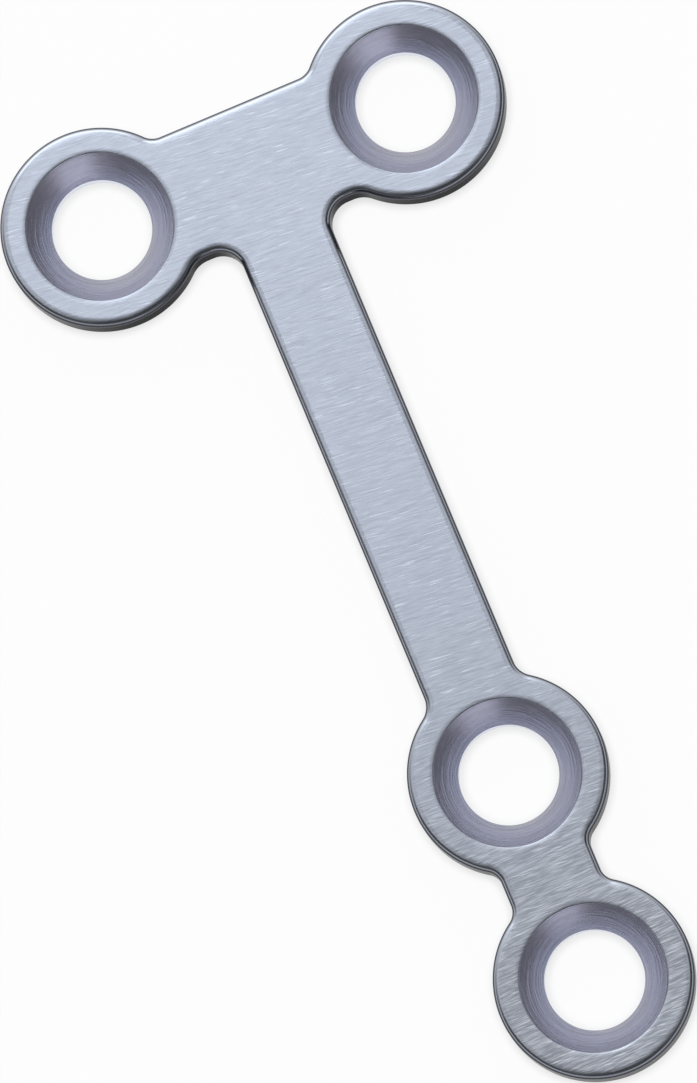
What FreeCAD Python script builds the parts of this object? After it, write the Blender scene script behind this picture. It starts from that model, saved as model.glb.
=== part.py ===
import FreeCAD, Part
import math
import os

import Sketcher

# A small T-shaped bone plate, one piece of metal.
# Four rings, each with a countersunk screw hole, are joined by a T of narrow bars:
# two rings end the arm of the head and two follow one another down the shaft.
#
# Frame: +X across the head, +Y along the shaft towards the head, +Z out of the countersunk side.
# The origin is in the underside, midway along the overall length and width. All in millimetres.

# Driving dimensions: name, size, what it measures

DIMENSIONS = [
    ("head_spacing", 7.2, "between the axes of the two head holes"),
    ("head_reach", 14.5, "from the line of the head holes to the first shaft hole"),
    ("shaft_pitch", 4.85, "from the first shaft hole to the last"),
    ("plate_thickness", 1.2, "from the underside to the top face"),
    ("ring_diameter", 4.4, "outside of the ring round each hole"),
    ("bore_diameter", 2.2, "clearance bore for the screw's shank"),
    ("mouth_diameter", 3.3, "countersink where it would meet the top face unbroken"),
    ("sink_angle", 80.0, "included angle of the countersink, in degrees"),
    ("bar_width", 2.1, "width of the shaft bar and of the neck between the shaft rings"),
    ("arm_above", 1.33, "from the line of the head holes to the arm's outer edge"),
    ("arm_below", 1.48, "from the line of the head holes to the arm's inner edge"),
    ("inner_corner_radius", 0.54, "in plan, where the shaft bar leaves the arm"),
    ("inner_root_radius", 0.59, "in plan, where the arm's inner edge meets a head ring"),
    ("outer_root_radius", 0.45, "in plan, where the arm's outer edge meets a head ring"),
    ("foot_radius", 0.5, "in plan, where the shaft bar meets the first shaft ring"),
    ("neck_radius", 0.4, "in plan, where the neck meets the shaft rings"),
    ("top_edge_radius", 0.2, "rounding of the outline's upper edge"),
    ("under_edge_radius", 0.17, "rounding of the outline's lower edge"),
    ("mouth_edge_break", 0.05, "chamfer of the countersink's mouth"),
    ("exit_edge_break", 0.05, "chamfer of the bore's edge on the underside"),
]

# Words that several features share

HALF_SPACING = "sizes.head_spacing / 2"
HALF_LENGTH = "(sizes.head_reach + sizes.shaft_pitch) / 2"
FIRST_SHAFT = "(sizes.head_reach - sizes.shaft_pitch) / 2"
THICKNESS = "sizes.plate_thickness"

# A concave radius takes at most this share of the straight edge that it ends

CORNER_SHARE = 0.6
ROOT_SHARE = 0.8

NEAR = 1e-4

doc = FreeCAD.newDocument("bone_plate")


def make_sheet():
    """The sheet of driving dimensions, one to a row: name, number and meaning."""
    made = doc.addObject("Spreadsheet::Sheet", "sizes")
    for row, (alias, number, meaning) in enumerate(DIMENSIONS, start=1):
        made.set(f"A{row}", alias)
        made.set(f"B{row}", str(number))
        made.set(f"C{row}", meaning)
        made.setAlias(f"B{row}", alias)
    doc.recompute()
    return made


sheet = make_sheet()
body = doc.addObject("PartDesign::Body", "bone_plate")
body.Label = "bone_plate"
body.Placement = FreeCAD.Placement()


def size(alias):
    """A driving dimension as it stands in the sheet."""
    return float(sheet.get(alias))


# Places that the sketches start from and that edges are found by

half_spacing = size("head_spacing") / 2
half_length = (size("head_reach") + size("shaft_pitch")) / 2
first_shaft = half_length - size("head_reach")
last_shaft = first_shaft - size("shaft_pitch")
arm_outer = half_length + size("arm_above")
arm_inner = half_length - size("arm_below")
half_bar = size("bar_width") / 2
thickness = size("plate_thickness")


def origin_feature(role):
    """The body's own origin plane or axis with that role."""
    return next(item for item in body.Origin.OriginFeatures if item.Role == role)


def new_sketch(name):
    """An empty sketch in the underside's plane."""
    sketch = body.newObject("Sketcher::SketchObject", name)
    sketch.AttachmentSupport = [(origin_feature("XY_Plane"), "")]
    sketch.MapMode = "FlatFace"
    return sketch


# Points of a sketch's geometry, as constraints name them

START, END, CENTRE = 1, 2, 3
ORIGIN = (-1, START)
Y_AXIS = -2


def drive(sketch, name, constraint, expression):
    """Adds a constraint under a name and ties its value to the sheet."""
    index = sketch.addConstraint(constraint)
    sketch.renameConstraint(index, name)
    sketch.setExpression(f"Constraints.{name}", expression)


def draw_tee(sketch):
    """The T of bars as one closed run of eight lines, square to the axes.

    The arm ends on the head holes' axes and the bar on the last shaft hole's, inside their rings.
    """
    corners = [
        (-half_spacing, arm_inner),
        (-half_bar, arm_inner),
        (-half_bar, last_shaft),
        (half_bar, last_shaft),
        (half_bar, arm_inner),
        (half_spacing, arm_inner),
        (half_spacing, arm_outer),
        (-half_spacing, arm_outer),
    ]
    points = [FreeCAD.Vector(x, y, 0) for x, y in corners]
    count = len(points)
    for index in range(count):
        sketch.addGeometry(Part.LineSegment(points[index], points[(index + 1) % count]))
    left_inner, left_side, bar_end, right_side, right_inner, right_end, outer_edge, left_end = range(count)
    for index in range(count):
        sketch.addConstraint(Sketcher.Constraint("Coincident", index, END, (index + 1) % count, START))
    for index in (left_side, right_side, right_end, left_end):
        sketch.addConstraint(Sketcher.Constraint("Vertical", index))
    for index in (left_inner, right_inner):
        sketch.addConstraint(Sketcher.Constraint("Horizontal", index))
    for index in (bar_end, outer_edge):
        sketch.addConstraint(Sketcher.Constraint("Symmetric", index, START, index, END, Y_AXIS))
    sketch.addConstraint(Sketcher.Constraint("Horizontal", left_inner, END, right_inner, START))
    drive(sketch, "bar_width",
          Sketcher.Constraint("DistanceX", bar_end, START, bar_end, END, 2 * half_bar),
          "sizes.bar_width")
    drive(sketch, "arm_length",
          Sketcher.Constraint("DistanceX", outer_edge, END, outer_edge, START, 2 * half_spacing),
          "sizes.head_spacing")
    drive(sketch, "bar_foot",
          Sketcher.Constraint("DistanceY", bar_end, START, *ORIGIN, half_length),
          HALF_LENGTH)
    drive(sketch, "arm_inner",
          Sketcher.Constraint("DistanceY", *ORIGIN, left_inner, START, arm_inner),
          f"{HALF_LENGTH} - sizes.arm_below")
    drive(sketch, "arm_outer",
          Sketcher.Constraint("DistanceY", *ORIGIN, outer_edge, START, arm_outer),
          f"{HALF_LENGTH} + sizes.arm_above")


def draw_head_circle(sketch, diameter, width):
    """A circle about the axis of the head hole on the +X side."""
    centre = FreeCAD.Vector(half_spacing, half_length, 0)
    edge = sketch.addGeometry(Part.Circle(centre, FreeCAD.Vector(0, 0, 1), diameter / 2))
    drive(sketch, "across",
          Sketcher.Constraint("DistanceX", *ORIGIN, edge, CENTRE, half_spacing), HALF_SPACING)
    drive(sketch, "along",
          Sketcher.Constraint("DistanceY", *ORIGIN, edge, CENTRE, half_length), HALF_LENGTH)
    drive(sketch, "width", Sketcher.Constraint("Diameter", edge, diameter), width)


def draw_shaft_circle(sketch, diameter, width):
    """A circle about the axis of the first shaft hole."""
    centre = FreeCAD.Vector(0, first_shaft, 0)
    edge = sketch.addGeometry(Part.Circle(centre, FreeCAD.Vector(0, 0, 1), diameter / 2))
    sketch.addConstraint(Sketcher.Constraint("PointOnObject", edge, CENTRE, Y_AXIS))
    drive(sketch, "along",
          Sketcher.Constraint("DistanceY", edge, CENTRE, *ORIGIN, -first_shaft), FIRST_SHAFT)
    drive(sketch, "width", Sketcher.Constraint("Diameter", edge, diameter), width)


def pad(name, sketch):
    """The sketch raised through the whole thickness."""
    made = body.newObject("PartDesign::Pad", name)
    made.Profile = sketch
    made.setExpression("Length", THICKNESS)
    doc.recompute()
    return made


def mirror_across(name, original):
    """The feature again on the other side of the shaft."""
    made = body.newObject("PartDesign::Mirrored", name)
    made.Originals = [original]
    made.MirrorPlane = (origin_feature("YZ_Plane"), [""])
    body.Tip = made
    doc.recompute()
    return made


def repeat_down_shaft(name, original):
    """The feature again, one shaft pitch further from the head."""
    made = body.newObject("PartDesign::LinearPattern", name)
    made.Originals = [original]
    made.Direction = (origin_feature("Y_Axis"), [""])
    made.Reversed = True
    made.setExpression("Length", "sizes.shaft_pitch")
    made.Occurrences = 2
    body.Tip = made
    doc.recompute()
    return made


def edges_where(feature, wanted):
    """Names of the feature's edges that the test accepts."""
    return [f"Edge{index}" for index, edge in enumerate(feature.Shape.Edges, start=1) if wanted(edge)]


def is_upright(edge):
    """True for an edge that stands through the thickness."""
    start, end = edge.Vertexes[0].Point, edge.Vertexes[-1].Point
    return math.hypot(end.x - start.x, end.y - start.y) < NEAR < abs(end.z - start.z)


def upright_edges(feature, inside):
    """Names of the upright edges whose place in plan, x without its sign and y, passes the test."""
    def wanted(edge):
        foot = edge.Vertexes[0].Point
        return is_upright(edge) and inside(abs(foot.x), foot.y)
    return edges_where(feature, wanted)


def level_edges(feature, height):
    """Names of the edges that lie wholly at one height."""
    def wanted(edge):
        return abs(edge.BoundBox.ZMin - height) < NEAR and abs(edge.BoundBox.ZMax - height) < NEAR
    return edges_where(feature, wanted)


def round_circles(feature, height, radius):
    """Names of the full circles of one radius at one height."""
    def wanted(edge):
        return (isinstance(edge.Curve, Part.Circle) and abs(edge.Curve.Radius - radius) < NEAR
                and abs(edge.BoundBox.ZMin - height) < NEAR and abs(edge.BoundBox.ZMax - height) < NEAR)
    return edges_where(feature, wanted)


def fillet(name, feature, edges, radius):
    """Rounds the named edges of the last feature."""
    made = body.newObject("PartDesign::Fillet", name)
    made.Base = (feature, edges)
    made.setExpression("Radius", radius)
    doc.recompute()
    return made


def chamfer(name, feature, edges, width):
    """Breaks the named edges of the last feature by the same width on both faces."""
    made = body.newObject("PartDesign::Chamfer", name)
    made.Base = (feature, edges)
    made.setExpression("Size", width)
    doc.recompute()
    return made


# Blank: the T of bars with a ring at each hole

tee_sketch = new_sketch("tee_outline")
draw_tee(tee_sketch)
tee = pad("tee", tee_sketch)

head_ring_sketch = new_sketch("head_ring_outline")
draw_head_circle(head_ring_sketch, size("ring_diameter"), "sizes.ring_diameter")
head_ring = pad("head_ring", head_ring_sketch)
head_rings = mirror_across("head_rings", head_ring)

shaft_ring_sketch = new_sketch("shaft_ring_outline")
draw_shaft_circle(shaft_ring_sketch, size("ring_diameter"), "sizes.ring_diameter")
shaft_ring = pad("shaft_ring", shaft_ring_sketch)
blank = repeat_down_shaft("shaft_rings", shaft_ring)

# Concave radii in plan, where bars and rings meet

INNER_RUN = (f"({HALF_SPACING} - sqrt(sizes.ring_diameter ^ 2 / 4 - sizes.arm_below ^ 2)"
             " - sizes.bar_width / 2)")
NECK_RUN = "(sizes.shaft_pitch - sqrt(sizes.ring_diameter ^ 2 - sizes.bar_width ^ 2))"


def at_inner_corner(x, y):
    return abs(x - half_bar) < NEAR and abs(y - arm_inner) < NEAR


def at_inner_root(x, y):
    return x > half_bar + NEAR and abs(y - arm_inner) < NEAR


def at_outer_root(x, y):
    return abs(y - arm_outer) < NEAR


def at_bar_foot(x, y):
    return abs(x - half_bar) < NEAR and first_shaft < y < arm_inner - NEAR


def at_neck(x, y):
    return abs(x - half_bar) < NEAR and last_shaft < y < first_shaft


CONCAVE = [
    ("inner_corners", at_inner_corner,
     f"min(sizes.inner_corner_radius; {CORNER_SHARE} * {INNER_RUN})"),
    ("inner_roots", at_inner_root,
     f"min(sizes.inner_root_radius; {ROOT_SHARE} * {INNER_RUN})"),
    ("outer_roots", at_outer_root, "sizes.outer_root_radius"),
    ("bar_foot", at_bar_foot, "sizes.foot_radius"),
    ("neck_ends", at_neck, f"min(sizes.neck_radius; {ROOT_SHARE} * {NECK_RUN})"),
]
shaped = blank
for name, place, radius in CONCAVE:
    shaped = fillet(name, shaped, upright_edges(shaped, place), radius)

# The outline's edges, rounded all the way round

top_edges = level_edges(shaped, thickness)
shaped = fillet("top_edges", shaped, top_edges, "sizes.top_edge_radius")
under_edges = level_edges(shaped, 0.0)
shaped = fillet("under_edges", shaped, under_edges, "sizes.under_edge_radius")

# Countersunk screw holes, from the top face down


def screw_hole(name, sketch):
    """A countersunk clearance hole through the plate at the circle in the sketch."""
    made = body.newObject("PartDesign::Hole", name)
    made.Profile = sketch
    made.ThreadType = "None"
    made.DepthType = "ThroughAll"
    made.setExpression("Diameter", "sizes.bore_diameter")
    made.HoleCutType = "Countersink"
    made.HoleCutCustomValues = True
    made.setExpression("HoleCutDiameter", "sizes.mouth_diameter")
    made.setExpression("HoleCutCountersinkAngle", "sizes.sink_angle")
    doc.recompute()
    return made


def raise_to_top(sketch):
    """Lifts a sketch from the underside to the top face."""
    sketch.setExpression("AttachmentOffset.Base.z", THICKNESS)
    doc.recompute()


before = shaped.Shape.Volume
head_hole_sketch = new_sketch("head_hole_place")
draw_head_circle(head_hole_sketch, size("bore_diameter"), "sizes.bore_diameter")
raise_to_top(head_hole_sketch)
head_hole = screw_hole("head_hole", head_hole_sketch)
head_holes = mirror_across("head_holes", head_hole)

shaft_hole_sketch = new_sketch("shaft_hole_place")
draw_shaft_circle(shaft_hole_sketch, size("bore_diameter"), "sizes.bore_diameter")
raise_to_top(shaft_hole_sketch)
shaft_hole = screw_hole("shaft_hole", shaft_hole_sketch)
pierced = repeat_down_shaft("shaft_holes", shaft_hole)


def hole_volume():
    """What one countersunk hole takes out: a cylinder and the rest of a cone above it."""
    bore, mouth = size("bore_diameter") / 2, size("mouth_diameter") / 2
    depth = (mouth - bore) / math.tan(math.radians(size("sink_angle") / 2))
    cone = math.pi * depth * (mouth ** 2 + mouth * bore + bore ** 2) / 3
    return cone + math.pi * bore ** 2 * (thickness - depth)


holes = 4
removed = before - pierced.Shape.Volume
if abs(removed / (holes * hole_volume()) - 1) > 0.001:
    raise SystemExit(f"the screw holes take out {removed:.3f} cubic millimetres")

mouths = round_circles(pierced, thickness, size("mouth_diameter") / 2)
softened = chamfer("mouth_edges", pierced, mouths, "sizes.mouth_edge_break")
exits = round_circles(softened, 0.0, size("bore_diameter") / 2)
finished = chamfer("exit_edges", softened, exits, "sizes.exit_edge_break")

# Check and write the piece


def check_and_write():
    """Stops at a failed object or a shape that is not one sound solid, then writes the piece."""
    body.Tip = finished
    doc.recompute()
    for item in doc.Objects:
        if {"Invalid", "Error"} & set(item.State):
            raise SystemExit(f"{item.Label} failed: {item.State}")
    shape = body.Shape
    if shape.isNull() or not shape.isValid() or len(shape.Solids) != 1:
        raise SystemExit(f"{body.Label} is not one sound solid")
    os.makedirs("parts", exist_ok=True)
    shape.exportStep(os.path.join("parts", f"{body.Label}.step"))
    box = shape.BoundBox
    print(f"{body.Label}: {box.XLength:.3f} x {box.YLength:.3f} x {box.ZLength:.3f} mm,"
          f" {shape.Volume:.3f} cubic mm, {len(shape.Faces)} faces")


check_and_write()
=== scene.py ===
# %% [markdown]
# # A small T-shaped bone plate in brushed metal
#
# The object is one piece of metal, 24 mm long and 1.2 mm thick: a T of narrow bars with a
# ring at each of its four ends, and a countersunk screw hole in each ring. This lesson
# takes the CAD solid as its frame, works out one fine surface over it with numpy, and
# then gives each part of that surface the finish that its tool leaves on a real plate.

import math

import bpy
import numpy as np
from mathutils import Matrix
from mathutils.geometry import delaunay_2d_cdt


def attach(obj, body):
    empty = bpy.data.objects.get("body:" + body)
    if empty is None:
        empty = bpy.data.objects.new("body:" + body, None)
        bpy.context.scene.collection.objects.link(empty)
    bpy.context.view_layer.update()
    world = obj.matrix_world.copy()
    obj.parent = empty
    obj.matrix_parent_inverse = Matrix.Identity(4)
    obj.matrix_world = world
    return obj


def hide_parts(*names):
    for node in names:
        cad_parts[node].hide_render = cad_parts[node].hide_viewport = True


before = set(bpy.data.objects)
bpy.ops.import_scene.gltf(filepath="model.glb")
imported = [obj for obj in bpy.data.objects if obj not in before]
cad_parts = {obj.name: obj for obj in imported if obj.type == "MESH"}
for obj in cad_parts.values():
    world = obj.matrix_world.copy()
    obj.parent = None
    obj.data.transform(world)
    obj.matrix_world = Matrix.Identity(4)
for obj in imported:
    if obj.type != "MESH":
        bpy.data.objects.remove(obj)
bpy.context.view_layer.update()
MM = 0.001

# %% [markdown]
# ## Sizes
#
# A plate of this kind is drawn as lines and arcs, so a handful of sizes gives its whole
# outline. They are the same ones that the solid was built from, in millimetres. The
# lengthwise axis is Y, with the head of the T towards +Y, and the countersinks open
# towards +Z. The arm is wider than the shaft and sits a little lower than the line of the
# head's holes, so its two edges have their own distances from that line. Each kind of
# corner where a bar meets a ring or another bar has its own hollow radius.

# %% Sizes of the plate
THICKNESS = 1.2
RING_RADIUS = 2.2
HALF_SPACING = 3.6
HEAD_LINE = 9.675
FIRST_SHAFT = -4.825
LAST_SHAFT = -9.675
HALF_BAR = 1.05
ARM_OUTER = HEAD_LINE + 1.33
ARM_INNER = HEAD_LINE - 1.48
NECK_HOLLOW = 0.4
FOOT_HOLLOW = 0.5
CORNER_HOLLOW = 0.54
INNER_HOLLOW = 0.59
OUTER_HOLLOW = 0.45

HOLES = np.array([
    (-HALF_SPACING, HEAD_LINE),
    (HALF_SPACING, HEAD_LINE),
    (0.0, FIRST_SHAFT),
    (0.0, LAST_SHAFT),
])
print("hole axes in mm:", HOLES.tolist())

# %% [markdown]
# ## Camera
#
# The photograph looks nearly straight down on the plate from far away, with the plate
# turned in the picture and tipped by a few degrees, so that a sliver of the edge shows
# on the lower right. A long lens from a third of a metre gives the same flat view. The
# camera is built from three turns: the plate's turn in the picture and two small tips.

# %% Where the photograph was taken from
# The picture's size, the distance and the aimed point's place in the picture are in pixels.
PICTURE = (697, 1083)
PIXELS_PER_MM = 45.9145
DISTANCE = 15691.0855
PICTURE_TURN = 1.1764
TIP_ACROSS = -0.0566
TIP_DOWN = -0.0979
AIM = np.array([0.0, 2.425, THICKNESS])
AIM_IN_PICTURE = np.array([378.8642, 466.3851])
print("camera distance in mm:", round(DISTANCE / PIXELS_PER_MM, 1))

# %% Camera at the photograph's angle


def turn(axis, angle):
    """Matrix that turns a column about the x (0), y (1) or z (2) axis by an angle in radians."""
    return np.array(Matrix.Rotation(angle, 3, "XYZ"[axis]))


def place_camera():
    """Puts the camera where the plate's middle lands on its place in the picture.

    Rows of `facing` are the picture's right, down and forward directions in the plate's axes.
    """
    c, s = math.cos(PICTURE_TURN), math.sin(PICTURE_TURN)
    level = np.array([[s, -c, 0.0], [-c, -s, 0.0], [0.0, 0.0, -1.0]])
    facing = turn(0, TIP_DOWN) @ turn(1, -TIP_ACROSS) @ level
    middle = (np.array(PICTURE) - 1) / 2
    ahead = np.append(AIM_IN_PICTURE - middle, DISTANCE) / PIXELS_PER_MM
    lens = bpy.data.cameras.new("picture_camera")
    lens.sensor_fit = "AUTO"
    lens.sensor_width = 36.0
    lens.lens = DISTANCE * lens.sensor_width / max(PICTURE)
    lens.clip_start, lens.clip_end = 0.01, 20.0
    camera = bpy.data.objects.new("picture_camera", lens)
    bpy.context.scene.collection.objects.link(camera)
    matrix = np.eye(4)
    matrix[:3, :3] = (np.diag([1.0, -1.0, -1.0]) @ facing).T
    matrix[:3, 3] = (AIM - facing.T @ ahead) * MM
    camera.matrix_world = Matrix(matrix.tolist())
    bpy.context.scene.camera = camera
    return camera


camera = place_camera()
print("camera at mm:", [round(value / MM, 1) for value in camera.location])
print("lens in mm:", round(camera.data.lens, 1))

# %% [markdown]
# ## The outline
#
# A milling cutter goes once round a real blank, and wherever a bar meets a ring it
# leaves a small hollow radius. The outline could be traced point by point, but it is
# exactly a chain of lines and arcs that are tangent to one another, so each is worked
# out from the sizes above and sampled. Only the +X half is written down, and the other
# half is its mirror image. Every sample keeps its place and its outward direction,
# because the rounding of the edges will need both.

# %% Samples of lines and arcs
TURN_STEP = math.radians(1.9)
LINE_STEP = 0.25
ON_AXIS = 1e-9
SAME_SPOT = 1e-6


def arc(centre, radius, start, end, hollow=False):
    """Samples of an arc: the centre plus radius times (cos, sin) of evenly spaced angles.

    The outward direction points away from the centre, or towards it where the arc is hollow.
    """
    count = max(3, math.ceil(abs(end - start) / TURN_STEP) + 1)
    angle = np.linspace(start, end, count)
    outward = np.stack([np.cos(angle), np.sin(angle)], axis=1)
    return np.array(centre) + radius * outward, -outward if hollow else outward


def line(start, end):
    """Samples between two points, without the ends, facing the right-hand side of the way along."""
    start, end = np.array(start), np.array(end)
    along = (end - start) / np.linalg.norm(end - start)
    count = max(2, math.ceil(np.linalg.norm(end - start) / LINE_STEP))
    share = np.linspace(0, 1, count + 1)[1:-1, None]
    outward = np.array([along[1], -along[0]])
    return start + share * (end - start), np.repeat(outward[None], len(share), axis=0)


print("a ring takes", len(arc((0, 0), RING_RADIUS, 0, 2 * math.pi)[0]), "samples")

# %% Where the hollow arcs stand


def hollow_beside(ring, radius, across=None, up=None):
    """Centre of a hollow arc that touches a ring and stands at a given x or y from its centre."""
    reach = RING_RADIUS + radius
    if across is not None:
        rise = math.sqrt(reach ** 2 - (across - ring[0]) ** 2)
        return np.array([across, ring[1] + math.copysign(rise, up)])
    run = math.sqrt(reach ** 2 - (up - ring[1]) ** 2)
    return np.array([ring[0] - run, up])


def heading(origin, target):
    """Angle of the way from one point to another."""
    return math.atan2(target[1] - origin[1], target[0] - origin[0])


print("neck hollow at", hollow_beside(HOLES[3], NECK_HOLLOW, HALF_BAR + NECK_HOLLOW, 1).round(3).tolist())

# %% Chain of the outline


def outline_half():
    """The outline's +X half, from the middle of the last ring's far side to the middle of the arm."""
    last, first, head = HOLES[3], HOLES[2], HOLES[1]
    neck_low = hollow_beside(last, NECK_HOLLOW, HALF_BAR + NECK_HOLLOW, 1)
    neck_high = hollow_beside(first, NECK_HOLLOW, HALF_BAR + NECK_HOLLOW, -1)
    foot = hollow_beside(first, FOOT_HOLLOW, HALF_BAR + FOOT_HOLLOW, 1)
    corner = np.array([HALF_BAR + CORNER_HOLLOW, ARM_INNER - CORNER_HOLLOW])
    inner_root = hollow_beside(head, INNER_HOLLOW, up=ARM_INNER - INNER_HOLLOW)
    outer_root = hollow_beside(head, OUTER_HOLLOW, up=ARM_OUTER + OUTER_HOLLOW)
    half = math.pi / 2
    inner_end = heading(head, inner_root)
    outer_end = heading(head, outer_root)
    return [
        arc(last, RING_RADIUS, -half, heading(last, neck_low)),
        arc(neck_low, NECK_HOLLOW, heading(last, neck_low) + math.pi, math.pi, hollow=True),
        line((HALF_BAR, neck_low[1]), (HALF_BAR, neck_high[1])),
        arc(neck_high, NECK_HOLLOW, math.pi, heading(first, neck_high) + math.pi, hollow=True),
        arc(first, RING_RADIUS, heading(first, neck_high), heading(first, foot)),
        arc(foot, FOOT_HOLLOW, heading(first, foot) + math.pi, math.pi, hollow=True),
        line((HALF_BAR, foot[1]), (HALF_BAR, corner[1])),
        arc(corner, CORNER_HOLLOW, math.pi, half, hollow=True),
        line((corner[0], ARM_INNER), (inner_root[0], ARM_INNER)),
        arc(inner_root, INNER_HOLLOW, half, inner_end + math.pi, hollow=True),
        arc(head, RING_RADIUS, inner_end, outer_end),
        arc(outer_root, OUTER_HOLLOW, outer_end - math.pi, -half, hollow=True),
        line((outer_root[0], ARM_OUTER), (-outer_root[0], ARM_OUTER)),
    ]


def closed_outline():
    """Points and outward directions once round: the +X half, then its mirror image backwards.

    A sample on the axis is kept once, and a sample on the same spot as the one before it is dropped.
    """
    pieces = outline_half()
    places = np.concatenate([place for place, _ in pieces])
    outward = np.concatenate([facing for _, facing in pieces])
    kept = places[:, 0] > -ON_AXIS
    places, outward = places[kept], outward[kept]
    flip = np.array([-1.0, 1.0])
    off_axis = places[:, 0] > ON_AXIS
    places = np.concatenate([places, (places * flip)[off_axis][::-1]])
    outward = np.concatenate([outward, (outward * flip)[off_axis][::-1]])
    step = np.linalg.norm(places - np.roll(places, 1, axis=0), axis=1)
    return places[step > SAME_SPOT], outward[step > SAME_SPOT]


outline, outline_facing = closed_outline()
print("outline:", len(outline), "samples, spans", np.ptp(outline, axis=0).round(3).tolist())

# %% [markdown]
# ## Walls with rounded edges
#
# After milling, the edges of a real plate are tumbled or polished until they are round,
# so that they don't cut into tissue: a little more on the upper edge than underneath.
# The wall is a profile carried along the outline. Each profile point is a distance
# inwards from the outline, a height, and the way it faces, which is then exact for
# every vertex of the grid.

# %% Profile of the wall, carried round
TOP_ROUND = 0.2
UNDER_ROUND = 0.17
ROUND_STEPS = 12
WALL_STEPS = 6
UNDER_STEPS = 10


def wall_profile():
    """Quarter circle from the top face to the wall, the wall, and a quarter circle to the underside.

    At the angle a above level, a rounding stands in by radius times (1 - cos a).
    """
    upper = np.linspace(math.pi / 2, 0, ROUND_STEPS + 1)
    lower = np.linspace(0, -math.pi / 2, UNDER_STEPS + 1)
    wall = np.zeros(WALL_STEPS - 1)
    inset = np.concatenate([TOP_ROUND * (1 - np.cos(upper)), wall, UNDER_ROUND * (1 - np.cos(lower))])
    height = np.concatenate([
        THICKNESS - TOP_ROUND * (1 - np.sin(upper)),
        np.linspace(THICKNESS - TOP_ROUND, UNDER_ROUND, WALL_STEPS + 1)[1:-1],
        UNDER_ROUND * (1 + np.sin(lower)),
    ])
    tilt = np.concatenate([upper, wall, lower])
    return inset, height, tilt


def carry_round(places, outward, inset, height, tilt):
    """Grid of the profile at every outline sample: place - inset times outward, at the profile's height."""
    flat = places[:, None] - inset[None, :, None] * outward[:, None]
    tall = np.broadcast_to(height[None, :, None], flat.shape[:2] + (1,))
    sideways = outward[:, None] * np.cos(tilt)[None, :, None]
    upward = np.broadcast_to(np.sin(tilt)[None, :, None], flat.shape[:2] + (1,))
    return np.concatenate([flat, tall], axis=2), np.concatenate([sideways, upward], axis=2)


wall_grid, wall_facing = carry_round(outline, outline_facing, *wall_profile())
print("wall grid:", wall_grid.shape[:2], "of which the upper rounding takes", ROUND_STEPS + 1)

# %% [markdown]
# ## Countersunk holes
#
# A countersink with an included angle of 80 degrees lets the screw's head sink into the
# ring, and below it a short straight bore guides the shank. Both are turned about one
# axis, so the surface is one profile of radius and height spun round it. The rim where
# the cone meets the top face is broken to a small round lip, which catches the light as
# a thin bright line. The grid is spun by formula instead of with the Spin tool, because
# the exact facing is wanted again.

# %% Profile of a hole, spun about its axis
BORE_RADIUS = 1.1
MOUTH_RADIUS = 1.65
CONE_TILT = math.radians(40)
LIP_ON_FACE = 0.09
LIP_ON_CONE = 0.035
EXIT_ROUND = 0.05
SPIN_STEPS = 192
LIP_STEPS = 12
CONE_STEPS = 8
LAND_STEPS = 4
EXIT_STEPS = 5


def hole_profile():
    """Runs of radius, height and facing from the top face down to the underside.

    The facing is an angle above level, towards the axis. The lip leaves the face and joins the
    cone at two distances from the sharp rim: (1 - t)^2 start + 2 (1 - t) t rim + t^2 end, with
    t from 0 to 1. Its facing stands at right angles to (1 - t) (rim - start) + t (end - rim).
    """
    start = np.array([MOUTH_RADIUS + LIP_ON_FACE, THICKNESS])
    rim = np.array([MOUTH_RADIUS, THICKNESS])
    end = rim - LIP_ON_CONE * np.array([math.sin(CONE_TILT), math.cos(CONE_TILT)])
    t = np.linspace(0, 1, LIP_STEPS + 1)[:, None]
    lip_r, lip_z = ((1 - t) ** 2 * start + 2 * (1 - t) * t * rim + t ** 2 * end).T
    slope = (1 - t) * (rim - start) + t * (end - rim)
    lip_tilt = math.pi / 2 - np.arctan2(-slope[:, 1], -slope[:, 0])
    land_top = THICKNESS - (MOUTH_RADIUS - BORE_RADIUS) / math.tan(CONE_TILT)
    share = np.linspace(0, 1, CONE_STEPS + 1)
    cone_r = lip_r[-1] + share * (BORE_RADIUS - lip_r[-1])
    cone_z = lip_z[-1] + share * (land_top - lip_z[-1])
    land_z = np.linspace(land_top, EXIT_ROUND, LAND_STEPS + 1)
    exit_tilt = np.linspace(0, -math.pi / 2, EXIT_STEPS + 1)
    exit_r = BORE_RADIUS + EXIT_ROUND * (1 - np.cos(exit_tilt))
    exit_z = EXIT_ROUND * (1 + np.sin(exit_tilt))
    return {
        "lip": (lip_r, lip_z, lip_tilt),
        "cone": (cone_r, cone_z, np.full_like(cone_z, CONE_TILT)),
        "land": (np.full_like(land_z, BORE_RADIUS), land_z, np.zeros_like(land_z)),
        "exit": (exit_r, exit_z, exit_tilt),
    }


def around_axis():
    """Unit directions (cos, sin) at even angles once round an axis."""
    angle = np.arange(SPIN_STEPS) * 2 * math.pi / SPIN_STEPS
    return np.stack([np.cos(angle), np.sin(angle)], axis=1)


def spin(centre, radius, height, tilt):
    """Grid of a profile spun about an upright axis: centre plus radius times direction, facing the axis."""
    away = around_axis()
    flat = centre + radius[None, :, None] * away[:, None]
    tall = np.broadcast_to(height[None, :, None], flat.shape[:2] + (1,))
    sideways = -away[:, None] * np.cos(tilt)[None, :, None]
    upward = np.broadcast_to(np.sin(tilt)[None, :, None], flat.shape[:2] + (1,))
    return np.concatenate([flat, tall], axis=2), np.concatenate([sideways, upward], axis=2)


profile = hole_profile()
for run, (radius, height, _) in profile.items():
    print(run, "radius", radius[[0, -1]].round(3).tolist(), "height", height[[0, -1]].round(3).tolist())

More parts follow.
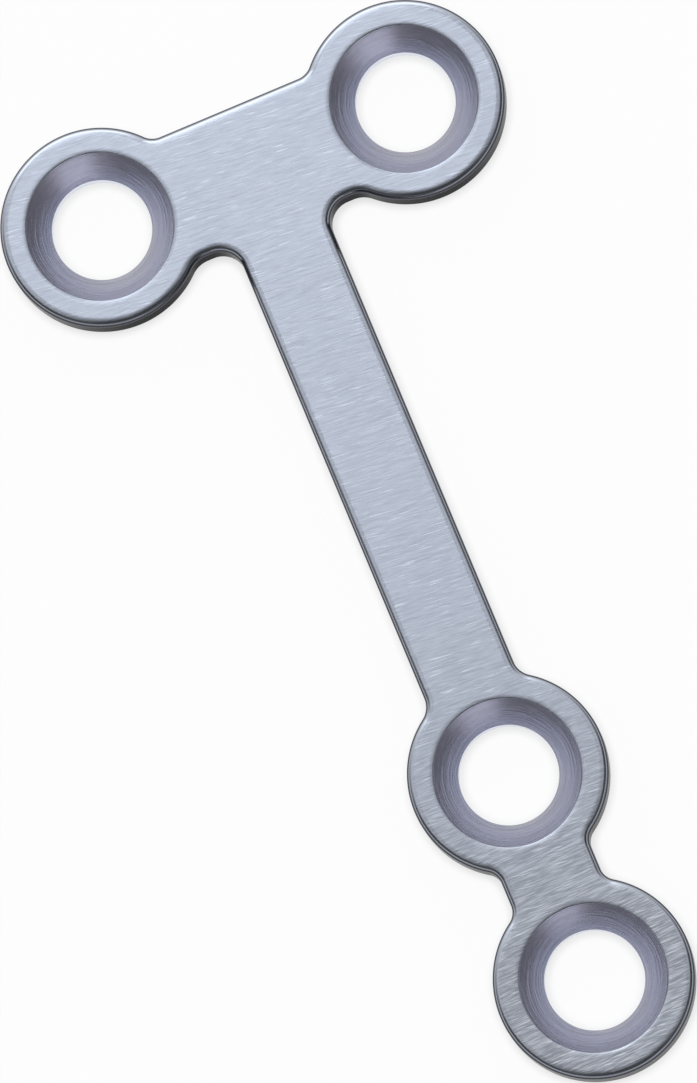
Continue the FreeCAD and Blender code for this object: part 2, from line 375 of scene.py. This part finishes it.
# %% [markdown]
# ## Flat faces
#
# The top and the underside are flat, so how they are cut into triangles doesn't show.
# A Delaunay triangulation fills the space between the outline and the four rims, and
# the triangles that land inside a hole are dropped.

# %% Fill between the outline and the holes


def ring_points(radius):
    """The four circles of one radius about the hole axes, one after another."""
    return HOLES[:, None] + radius * around_axis()[None]


def fill_flat(border, hole_radius):
    """Triangles between a closed border and the four circles, counter-clockwise from above.

    Where the cross product of two sides of a triangle is negative, its corners are taken backwards.
    """
    circles = ring_points(hole_radius)
    loops = [border, *circles]
    points = np.concatenate(loops)
    edges, first = [], 0
    for loop in loops:
        index = first + np.arange(len(loop))
        edges.append(np.stack([index, np.roll(index, -1)], axis=1))
        first += len(loop)
    edges = np.concatenate(edges)
    made = delaunay_2d_cdt(points.tolist(), edges.tolist(), [], 1, SAME_SPOT)
    given = np.array([numbers[0] for numbers in made[3]])
    faces = given[np.array(made[2])]
    middle = points[faces].mean(axis=1)
    gap = np.linalg.norm(middle[:, None] - HOLES[None], axis=2).min(axis=1)
    faces = faces[gap > hole_radius]
    one, two, three = (points[faces[:, k]] for k in range(3))
    turned = (two - one)[:, 0] * (three - one)[:, 1] - (two - one)[:, 1] * (three - one)[:, 0]
    faces[turned < 0] = faces[turned < 0][:, ::-1]
    return points, faces


top_border = outline - TOP_ROUND * outline_facing
top_flat = fill_flat(top_border, MOUTH_RADIUS + LIP_ON_FACE)
under_border = outline - UNDER_ROUND * outline_facing
under_flat = fill_flat(under_border, BORE_RADIUS + EXIT_ROUND)
print("flat triangles:", len(top_flat[1]), "on top,", len(under_flat[1]), "underneath")

# %% [markdown]
# ## One closed surface
#
# The runs are joined into one mesh. Vertices that fall on the same spot are welded, so
# there is no open seam, while each face corner keeps the facing of its own run: smooth
# where a rounding flows into a flat, and crisp where the cone meets the bore. Each face
# also remembers its finish by its material slot.

# %% Collect the runs
FINISHES = ["brushed_face", "rounded_edge", "milled_wall_painted_shade", "turned_cone", "bored_land", "brushed_under"]
WELD = 1e-5


class Shell:
    """Collects runs of faces with the facing of each corner and the finish of each face."""

    def __init__(self):
        self.places, self.corners, self.facing, self.sides, self.finish = [], [], [], [], []
        self.count = 0

    def add(self, places, faces, facing, finish):
        """Takes vertices, faces by vertex number, a facing for each vertex and one finish."""
        self.places.append(places)
        self.corners.append((faces + self.count).ravel())
        self.facing.append(facing[faces].reshape(-1, 3))
        self.sides.append(np.full(len(faces), faces.shape[1]))
        self.finish.append(np.full(len(faces), FINISHES.index(finish)))
        self.count += len(places)

    def add_grid(self, grid, facing, finish):
        """A grid closed in its first direction, with its faces turned the way that it faces."""
        rows, columns = grid.shape[:2]
        number = np.arange(rows * columns).reshape(rows, columns)
        after = np.roll(number, -1, axis=0)
        faces = np.stack([number[:, :-1], number[:, 1:], after[:, 1:], after[:, :-1]], axis=2)
        faces = faces.reshape(-1, 4)
        places, ways = grid.reshape(-1, 3), facing.reshape(-1, 3)
        one, two, four = places[faces[:, 0]], places[faces[:, 1]], places[faces[:, 3]]
        turned = np.einsum("ij,ij->i", np.cross(two - one, four - one), ways[faces[:, 0]])
        if np.median(turned) < 0:
            faces = faces[:, ::-1]
        self.add(places, faces, ways, finish)

    def build(self, name):
        """The welded mesh as an object at the origin: places that round to the same step of WELD are one."""
        places = np.concatenate(self.places) * MM
        keys = np.round(places / (WELD * MM)).astype(np.int64)
        _, first, number = np.unique(keys, axis=0, return_index=True, return_inverse=True)
        corners = number.ravel()[np.concatenate(self.corners)]
        sides = np.concatenate(self.sides)
        mesh = bpy.data.meshes.new(name)
        mesh.vertices.add(len(first))
        mesh.vertices.foreach_set("co", places[first].ravel())
        mesh.loops.add(len(corners))
        mesh.loops.foreach_set("vertex_index", corners)
        mesh.polygons.add(len(sides))
        mesh.polygons.foreach_set("loop_start", np.concatenate([[0], np.cumsum(sides)[:-1]]))
        mesh.polygons.foreach_set("material_index", np.concatenate(self.finish))
        mesh.update(calc_edges=True)
        mesh.normals_split_custom_set(np.concatenate(self.facing).tolist())
        made = bpy.data.objects.new(name, mesh)
        bpy.context.scene.collection.objects.link(made)
        return made


print("finishes:", ", ".join(FINISHES))

# %% Join them


def level(flat, height, way):
    """Vertices of a flat at one height, with their facing straight up (1) or down (-1)."""
    corners, faces = flat
    places = np.column_stack([corners, np.full(len(corners), height)])
    facing = np.tile([0.0, 0.0, float(way)], (len(corners), 1))
    return places, faces[:, ::way], facing


def build_plate():
    """The whole plate: flats, walls and the four holes."""
    shell = Shell()
    shell.add(*level(top_flat, THICKNESS, 1), "brushed_face")
    shell.add(*level(under_flat, 0.0, -1), "brushed_under")
    upper = slice(None), slice(0, ROUND_STEPS + 1)
    lower = slice(None), slice(ROUND_STEPS, None)
    shell.add_grid(wall_grid[upper], wall_facing[upper], "rounded_edge")
    shell.add_grid(wall_grid[lower], wall_facing[lower], "milled_wall_painted_shade")
    finish_of = {
        "lip": "rounded_edge", "cone": "turned_cone", "land": "bored_land", "exit": "bored_land",
    }
    for centre in HOLES:
        for run, shape in profile.items():
            shell.add_grid(*spin(centre, *shape), finish_of[run])
    return shell.build("finished_plate")


plate = build_plate()
print(plate.name, len(plate.data.vertices), "vertices,", len(plate.data.polygons), "faces")

# %% Look for open or doubled edges
edge_use = np.zeros(len(plate.data.edges), dtype=np.int64)
loop_edges = np.empty(len(plate.data.loops), dtype=np.int64)
plate.data.loops.foreach_get("edge_index", loop_edges)
np.add.at(edge_use, loop_edges, 1)
print("edges not shared by two faces:", int((edge_use != 2).sum()))

# %% [markdown]
# ## A notation for shader maths
#
# A material is a network of nodes, and a formula such as `1 - mask * 0.3` takes two
# Math nodes. Wrapping a socket in a small class with Python's own operators lets the
# formula be written as it is read. Numbers go through Math nodes, vectors and colours
# through Vector Math and Mix, and any other node is made by one method.

# %% Sockets that can be added and multiplied


class Value:
    """A number that varies over the surface: an output socket and its node tree."""

    def __init__(self, nodes, socket):
        self.nodes, self.socket = nodes, socket

    def _maths(self, operation, *terms):
        """One Math node over the given terms."""
        return self.nodes.node("ShaderNodeMath", {"operation": operation}, list(terms)).out()

    def __add__(self, other):
        return self._maths("ADD", self, other)

    def __radd__(self, other):
        return self._maths("ADD", other, self)

    def __sub__(self, other):
        return self._maths("SUBTRACT", self, other)

    def __rsub__(self, other):
        return self._maths("SUBTRACT", other, self)

    def __mul__(self, other):
        return self._maths("MULTIPLY", self, other)

    def __rmul__(self, other):
        return self._maths("MULTIPLY", other, self)

    def clamp(self):
        """The value kept between 0 and 1."""
        return self.between(0.0, 1.0, 0.0, 1.0)

    def between(self, low, high, at_low=0.0, at_high=1.0):
        """Straight ramp from one value to another as this value goes from low to high, then held."""
        return self.nodes.node("ShaderNodeMapRange", {"clamp": True}, {
            "Value": self, "From Min": low, "From Max": high, "To Min": at_low, "To Max": at_high,
        }).out()


print("operators: + - *")

# %% One method for any node


class Made:
    """A node that has been made: out() gives one of its outputs as a value."""

    def __init__(self, nodes, item):
        self.nodes, self.item = nodes, item

    def out(self, name=0):
        return Value(self.nodes, self.item.outputs[name])


class Nodes:
    """Writes the nodes of one material or world."""

    def __init__(self, tree):
        self.tree = tree
        tree.nodes.clear()

    def node(self, kind, settings, sockets):
        """Makes a node: its settings first, then the numbers or links of its sockets."""
        item = self.tree.nodes.new(kind)
        for name, choice in settings.items():
            setattr(item, name, choice)
        pairs = sockets.items() if isinstance(sockets, dict) else enumerate(sockets)
        for name, given in pairs:
            if isinstance(given, Value):
                self.tree.links.new(given.socket, item.inputs[name])
            else:
                item.inputs[name].default_value = given
        return Made(self, item)

    def mix_colours(self, share, low, high):
        """Blend of two colours, by a share from 0 to 1.

        On a Mix node, sockets 0, 6 and 7 are the factor and the colours, and output 2 is the colour.
        """
        made = self.node("ShaderNodeMix", {"data_type": "RGBA"}, {0: share, 6: low, 7: high})
        return made.out(2)

    def noise(self, vector, scale, detail=2.0, roughness=0.5):
        """Smooth noise between 0 and 1 about a vector."""
        return self.node("ShaderNodeTexNoise", {"noise_dimensions": "3D"}, {
            "Vector": vector, "Scale": scale, "Detail": detail, "Roughness": roughness,
        }).out()

    def mapping(self, vector, turn_z, stretch, shift=(0.0, 0.0, 0.0)):
        """A vector turned about z by an angle in degrees and shifted, then stretched axis by axis."""
        turned = self.node("ShaderNodeMapping", {"vector_type": "POINT"}, {
            "Vector": vector, "Rotation": (0.0, 0.0, math.radians(turn_z)), "Location": shift,
        }).out()
        return self.node("ShaderNodeVectorMath", {"operation": "MULTIPLY"}, {0: turned, 1: stretch}).out()

    def in_mm(self):
        """Object coordinates in millimetres, as the sizes are."""
        place = self.node("ShaderNodeTexCoord", {}, {}).out("Object")
        return self.node("ShaderNodeVectorMath", {"operation": "SCALE"}, {0: place, "Scale": 1 / MM}).out()


print("shader notation ready")

# %% [markdown]
# ## Brushed top face
#
# The top is ground on a belt almost at right angles to the shaft, which leaves countless
# short scratches, each a few hundredths of a millimetre wide and up to half a millimetre
# long, and a few deeper single ones that shine. Noise that is stretched a long way in one
# direction looks just like that. Bump alone would draw them only under a hard lamp, and
# this light is soft, so the same noise also moves the tone and the roughness. Towards the
# last rings the belt lifted off: the marks there are coarser, steeper and greyer.

# %% Colours of the brushed face
FACE_COLOUR = (0.80, 0.855, 0.98, 1.0)
FACE_SHADE = (0.45, 0.487, 0.575, 1.0)
FOOT_COLOUR = (0.86, 0.88, 0.92, 1.0)
FOOT_SHADE = (0.33, 0.345, 0.38, 1.0)
BRUSH_TURN = 5.0
FACE_ROUGHNESS = 0.40
FOOT_START, FOOT_FULL = -1.0, -9.0


def new_material(name):
    """An empty material with its node writer."""
    material = bpy.data.materials.new(name)
    material.use_nodes = True
    return material, Nodes(material.node_tree)


def metal(nodes, colour, roughness, relief, strength, relief_height, grazing=(1.0, 1.0, 1.0, 1.0)):
    """The metal's shader, with a relief pattern of a given height, in metres, fed to its normal.

    `grazing` is the tint of what it mirrors when it is seen almost edge-on.
    """
    normal = nodes.node("ShaderNodeBump", {}, {
        "Strength": strength, "Distance": relief_height, "Height": relief,
    }).out()
    shader = nodes.node("ShaderNodeBsdfPrincipled", {}, {
        "Base Color": colour, "Metallic": 1.0, "Roughness": roughness,
        "Specular Tint": grazing, "Normal": normal,
    }).out()
    nodes.node("ShaderNodeOutputMaterial", {}, {"Surface": shader})


print("roughness of the brushed face:", FACE_ROUGHNESS)

# %% Scratches
# Each kind of mark has its turn from the brushing, in degrees, how often it changes in a
# millimetre along, across and in depth, and a shift that keeps it off the other kinds.
GRAIN = (0.0, (2.4, 30.0, 1.0), (0.0, 0.0, 0.0))
STREAKS = (-2.0, (1.3, 15.0, 1.0), (3.0, 7.0, 0.0))
SINGLE = (1.0, (2.1, 32.0, 1.0), (11.0, 5.0, 0.0))
STEEP = (-8.0, (1.9, 32.0, 1.0), (2.0, 9.0, 0.0))
SWAY = 0.15


def marks(nodes, place, kind, detail, roughness):
    """One kind of mark: noise on a place that is turned, shifted and stretched."""
    turn_from, stretch, shift = kind
    return nodes.noise(nodes.mapping(place, BRUSH_TURN + turn_from, stretch, shift), 1.0, detail, roughness)


def scratches(nodes, place):
    """Height and tone of the brushing, and how coarse it is: 0 on the shaft, 1 at the last ring.

    It has fine grain, short streaks, single bright lines, and steeper ones where it is coarse.
    """
    sway = nodes.noise(place, 0.25, 1.0) - 0.5
    swayed = nodes.node("ShaderNodeVectorMath", {"operation": "ADD"}, {
        0: place,
        1: nodes.node("ShaderNodeCombineXYZ", {}, {"Y": sway * SWAY}).out(),
    }).out()
    grain = marks(nodes, swayed, GRAIN, 3.0, 0.65)
    streaks = marks(nodes, swayed, STREAKS, 2.0, 0.5)
    single = marks(nodes, swayed, SINGLE, 1.0, 0.4)
    steep = marks(nodes, place, STEEP, 3.0, 0.65)
    cloud = nodes.noise(place, 0.6, 2.0)
    along = nodes.node("ShaderNodeSeparateXYZ", {}, {0: place}).out("Y")
    coarse = along.between(FOOT_FULL, FOOT_START, 1.0, 0.0)
    bright_line = single.between(0.63, 0.70)
    height = grain * 0.5 + streaks * 0.5 - bright_line * 0.3
    fine = grain * 0.6 + streaks * 0.3 + cloud * 0.1 - 0.5
    rough_lines = (steep - 0.5) * coarse
    tone = fine * 1.6 + bright_line * 0.5 + rough_lines * 3.0 + 0.26
    return height, tone.clamp(), coarse


print("marks in a millimetre across the brushing:", [kind[1][1] for kind in (GRAIN, STREAKS, SINGLE, STEEP)])

# %% Brushed finish
BRUSH_RELIEF = 0.01 * MM


def scratch_look(nodes, tone, coarse):
    """Colour and roughness of the brushing: blue-white steel, greyer and duller at the foot."""
    steel = nodes.mix_colours(tone, FACE_SHADE, FACE_COLOUR)
    foot = nodes.mix_colours(tone, FOOT_SHADE, FOOT_COLOUR)
    return nodes.mix_colours(coarse * 0.6, steel, foot), FACE_ROUGHNESS + tone * 0.05 + coarse * 0.08


def brushed(name):
    """Scratches across the shaft."""
    material, nodes = new_material(name)
    height, tone, coarse = scratches(nodes, nodes.in_mm())
    colour, roughness = scratch_look(nodes, tone, coarse)
    metal(nodes, colour, roughness, height, 0.35, BRUSH_RELIEF)
    return material


brushed_face = brushed("brushed_face")
brushed_under = brushed("brushed_under")
print("made", brushed_face.name, "and", brushed_under.name)

# %% [markdown]
# ## Rounded edges and walls
#
# The belt still reaches the upper part of the rounding, so the scratches run out over
# it. Below them the edge is burnished, and under that the lower rounding and the wall
# are painted dark: painted shade for the shadowed floor and dark surroundings that they
# mirror, deepest just under the rounding, with faint lines running lengthwise. The depth
# below the top face tells where each of them ends, so one function writes both the
# rounding's and the wall's material. They differ only in the grazing tint, a painted
# shade in both: the wall is seen almost edge-on, where any metal mirrors nearly
# everything, and a dark tint darkens that mirrored image. The lips of the holes are
# tumbled too, so they take the rounding's.

# %% Tumbled finish, with painted shade on the wall
EDGE_COLOUR = (0.64, 0.68, 0.78, 1.0)
# Painted shade: these dark wall colours stand in for the shadowed floor and dark surroundings that the wall
# mirrors.
WALL_PAINTED_SHADE_LIGHT = (0.17, 0.177, 0.196, 1.0)
WALL_PAINTED_SHADE_DARK = (0.10, 0.105, 0.117, 1.0)
WALL_PAINTED_SHADE_DEEP = (0.05, 0.053, 0.06, 1.0)
# Painted shade: these grazing tints darken what the rounding and the wall mirror when seen edge-on.
ROUND_GRAZING_PAINTED_SHADE = (0.6, 0.6, 0.63, 1.0)
WALL_GRAZING_PAINTED_SHADE = (0.04, 0.04, 0.045, 1.0)
LINES = (0.8, 0.8, 22.0)


def tumbled(name, grazing):
    """Scratches at the top of the rounding, a burnished edge, and a dark wall with faint level lines.

    The depth below the top face, in mm, gives the share of each: the belt's marks are full down to
    0.005 and gone at 0.035, the burnish is full down to there and gone at 0.10, and the wall's
    painted shade is deepest down to 0.2 and as light as it gets from 0.45 on.
    """
    material, nodes = new_material(name)
    place = nodes.in_mm()
    depth = THICKNESS - nodes.node("ShaderNodeSeparateXYZ", {}, {0: place}).out("Z")
    belt = depth.between(0.005, 0.035, 1.0, 0.0)
    burnish = depth.between(0.035, 0.10, 1.0, 0.0)
    deepest = depth.between(0.2, 0.45, 1.0, 0.0)
    scratched, tone, coarse = scratches(nodes, place)
    brush_colour, brush_rough = scratch_look(nodes, tone, coarse)
    lines = nodes.noise(nodes.mapping(place, 0.0, LINES), 1.0, 2.0, 0.5)
    grain = nodes.noise(place, 14.0, 2.0)
    # Painted shade on the wall and the lower rounding, with faint lengthwise lines in it, darkest just under
    # the rounding.
    painted_wall_shade = nodes.mix_colours(lines.between(0.35, 0.65), WALL_PAINTED_SHADE_DARK, WALL_PAINTED_SHADE_LIGHT)
    wall = nodes.mix_colours(deepest, painted_wall_shade, WALL_PAINTED_SHADE_DEEP)
    lower = nodes.mix_colours(burnish, wall, EDGE_COLOUR)
    colour = nodes.mix_colours(belt, lower, brush_colour)
    rough = (0.12 + grain * 0.08) * (1 - belt) + brush_rough * belt
    relief = scratched * belt + (lines * 0.16 + grain * 0.04) * (1 - belt)
    metal(nodes, colour, rough, relief, 0.6, BRUSH_RELIEF, grazing)
    return material


rounded_edge = tumbled("rounded_edge", ROUND_GRAZING_PAINTED_SHADE)
milled_wall_painted_shade = tumbled("milled_wall_painted_shade", WALL_GRAZING_PAINTED_SHADE)
print("made", rounded_edge.name, "and", milled_wall_painted_shade.name)

# %% [markdown]
# ## Turned countersinks
#
# The countersinking tool turns about the hole's axis and leaves rings: very fine grooves
# that run round the cone. They need a pattern laid out about the hole's own axis, so each
# vertex carries its place measured from the nearest hole's axis as an attribute. Dividing
# that place by its own distance from the axis makes the pattern depend on direction and
# depth alone, and stretching it in depth turns it into grooves.
# The bore below is smoother and lighter, because the drill burnished it.

# %% Place from the hole's axis
point_count = len(plate.data.vertices)
spots = np.empty(point_count * 3)
plate.data.vertices.foreach_get("co", spots)
spots = spots.reshape(-1, 3) / MM
nearest = np.linalg.norm(spots[:, None, :2] - HOLES[None], axis=2).argmin(axis=1)
from_axis = spots.copy()
from_axis[:, :2] -= HOLES[nearest]
carried = plate.data.attributes.new("from_axis", "FLOAT_VECTOR", "POINT")
carried.data.foreach_set("vector", from_axis.ravel())
print("attribute from_axis on", point_count, "vertices")

# %% Turned finish
CONE_BRIGHT = (0.49, 0.485, 0.55, 1.0)
CONE_DULL = (0.37, 0.365, 0.415, 1.0)
BORE_BRIGHT = (0.86, 0.90, 1.0, 1.0)
BORE_DULL = (0.76, 0.80, 0.92, 1.0)
GROOVE_RELIEF = 0.02 * MM


def turned(name, bright, dull, rough_low, strength):
    """Grooves round the hole: noise that changes quickly down the cone and slowly round it.

    The noise is read at the unit direction from the axis, (x, y) over its length, plus the height.
    """
    material, nodes = new_material(name)
    local = nodes.node("ShaderNodeAttribute", {"attribute_name": "from_axis"}, {}).out("Vector")
    flat = nodes.node("ShaderNodeVectorMath", {"operation": "MULTIPLY"}, {0: local, 1: (1.0, 1.0, 0.0)}).out()
    around = nodes.node("ShaderNodeVectorMath", {"operation": "NORMALIZE"}, {0: flat}).out()
    up = nodes.node("ShaderNodeVectorMath", {"operation": "MULTIPLY"}, {0: local, 1: (0.0, 0.0, 1.0)}).out()
    joined = nodes.node("ShaderNodeVectorMath", {"operation": "ADD"}, {0: around, 1: up}).out()
    grooves = nodes.noise(nodes.mapping(joined, 0.0, (1.5, 1.5, 30.0)), 1.0, 3.0, 0.6)
    bands = nodes.noise(nodes.mapping(joined, 0.0, (0.9, 0.9, 9.0), (5.0, 1.0, 2.0)), 1.0, 2.0, 0.5)
    colour = nodes.mix_colours((grooves * 0.5 + bands * 0.5).between(0.3, 0.7), dull, bright)
    rough = rough_low + grooves * 0.08
    metal(nodes, colour, rough, grooves * 0.6 + bands * 0.4, strength, GROOVE_RELIEF)
    return material


turned_cone = turned("turned_cone", CONE_BRIGHT, CONE_DULL, rough_low=0.09, strength=0.25)
bored_land = turned("bored_land", BORE_BRIGHT, BORE_DULL, rough_low=0.20, strength=0.3)
print("made", turned_cone.name, "and", bored_land.name)

# %% Give the finishes to the faces
for finish in FINISHES:
    plate.data.materials.append(bpy.data.materials[finish])
print("slots:", [slot.name for slot in plate.material_slots])

# %% [markdown]
# ## The finished surface stands for the CAD node
#
# The solid's own mesh is made of coarse facets, which a glossy metal shows at once. The
# fine surface has the same sizes, so it takes the node's place and moves with its body.

# %% Take the node's place
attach(plate, "root")
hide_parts("bone_plate")
print(plate.name, "stands for bone_plate")

# %% [markdown]
# ## Floor, lamps and surroundings
#
# Metal mostly shows what it mirrors, so the light is laid out by direction. The top face
# mirrors the sky overhead. A strip lamp stands close to the head, so the face fades
# towards the foot, and its image is the light wedge in each countersink. A low lamp and a
# bright part of the sky beyond the head whiten the far edges and the near lips of the
# holes, and two paler parts high up on the sides light the long edges. The sky behind
# the foot is dark, which draws the near edges as dark lines.
#
# The floor is white for what looks at it straight or in a mirror, and darker close to the
# plate, where little sky reaches it. It also takes the lamps' real shadow.

# %% Floor
FLOOR_HALF = 2.0
FLOOR_GAP = 0.01 * MM
SHADOW_REACH = 0.3 * MM


def make_floor():
    """A plain pale square just under the plate: white to the camera and in mirrors, with its shadow kept."""
    mesh = bpy.data.meshes.new("floor")
    corners = [(x * FLOOR_HALF, y * FLOOR_HALF, 0.0) for x, y in ((-1, -1), (1, -1), (1, 1), (-1, 1))]
    mesh.from_pydata(corners, [], [(0, 1, 2, 3)])
    made = bpy.data.objects.new("floor", mesh)
    made.location = (0.0, 0.0, -FLOOR_GAP)
    bpy.context.scene.collection.objects.link(made)
    material, nodes = new_material("pale_floor")
    pale = nodes.node("ShaderNodeBsdfPrincipled", {}, {
        "Base Color": (0.95, 0.95, 0.95, 1.0), "Roughness": 0.9, "Specular IOR Level": 0.1,
    }).out()
    white = nodes.node("ShaderNodeEmission", {}, {"Color": (1.0, 1.0, 1.0, 1.0), "Strength": 1.0}).out()
    ray = nodes.node("ShaderNodeLightPath", {}, {})
    seen = ray.out("Is Camera Ray") + ray.out("Is Glossy Ray") + ray.out("Is Transmission Ray")
    open_sky = nodes.node("ShaderNodeAmbientOcclusion", {"samples": 8}, {"Distance": SHADOW_REACH}).out("AO")
    share = seen.clamp() * open_sky.between(0.5, 0.85, 0.72, 0.96)
    mixed = nodes.node("ShaderNodeMixShader", {}, {0: share, 1: pale, 2: white}).out()
    nodes.node("ShaderNodeOutputMaterial", {}, {"Surface": mixed})
    mesh.materials.append(material)
    return made


floor = make_floor()
print("floor side in m:", 2 * FLOOR_HALF)

# %% Lamps


def soft_lamp(name, azimuth, elevation, distance, across, along, radiance, colour):
    """A rectangular lamp aimed at the plate. Azimuth 0 is +X and 90 is +Y, in degrees.

    Its power is radiance times pi times its area, so that a mirror would show it at that brightness.
    """
    lamp = bpy.data.lights.new(name, "AREA")
    lamp.shape = "RECTANGLE"
    lamp.size, lamp.size_y = across, along
    lamp.energy = radiance * math.pi * across * along
    lamp.color = colour
    made = bpy.data.objects.new(name, lamp)
    a, e = math.radians(azimuth), math.radians(elevation)
    made.location = (
        distance * math.cos(e) * math.cos(a),
        distance * math.cos(e) * math.sin(a),
        distance * math.sin(e),
    )
    made.rotation_mode = "QUATERNION"
    made.rotation_quaternion = made.location.to_track_quat("Z", "Y")
    made.visible_camera = False
    bpy.context.scene.collection.objects.link(made)
    return made


strip = soft_lamp(
    "strip_lamp", azimuth=92, elevation=60, distance=0.10,
    across=0.026, along=0.093, radiance=1.8, colour=(0.95, 0.98, 1.0),
)
low = soft_lamp(
    "low_lamp", azimuth=90, elevation=24, distance=0.40,
    across=0.50, along=0.20, radiance=0.7, colour=(0.92, 0.96, 1.0),
)
print("lamps at", [[round(value, 3) for value in lamp.location] for lamp in (strip, low)])

# %% Surroundings
OVERHEAD, AHEAD, BESIDE, BEHIND, ROOM = 0.47, 0.8, 0.3, 0.2, 0.06


def make_sky():
    """A sky by direction: even overhead, bright low beyond the head, pale beside, dark behind the foot.

    Its strength is the sum of each part's own strength times a ramp over the direction (x, y, z).
    """
    world = bpy.data.worlds.new("soft_studio")
    world.use_nodes = True
    bpy.context.scene.world = world
    nodes = Nodes(world.node_tree)
    way = nodes.node("ShaderNodeTexCoord", {}, {}).out("Generated")
    split = nodes.node("ShaderNodeSeparateXYZ", {}, {0: way})
    across, forward, up = split.out("X"), split.out("Y"), split.out("Z")
    overhead = (up + forward * 0.8).between(0.25, 0.75)
    ahead = (forward - up * 0.6).between(0.25, 0.85)
    beside = (across * across).between(0.12, 0.4) * up.between(0.4, 0.6)
    horizon = up.between(0.1, 0.28, 1.0, 0.0)
    behind = horizon * forward.between(-0.8, -0.3, 1.0, 0.0)
    strength = overhead * OVERHEAD + ahead * ahead * AHEAD + beside * BESIDE + behind * BEHIND + ROOM
    glow = nodes.node("ShaderNodeBackground", {}, {
        "Color": (0.98, 0.99, 1.0, 1.0), "Strength": strength,
    }).out()
    nodes.node("ShaderNodeOutputWorld", {}, {"Surface": glow})


make_sky()
bpy.context.scene.view_settings.view_transform = "Standard"
print("surroundings:", bpy.context.scene.world.name)
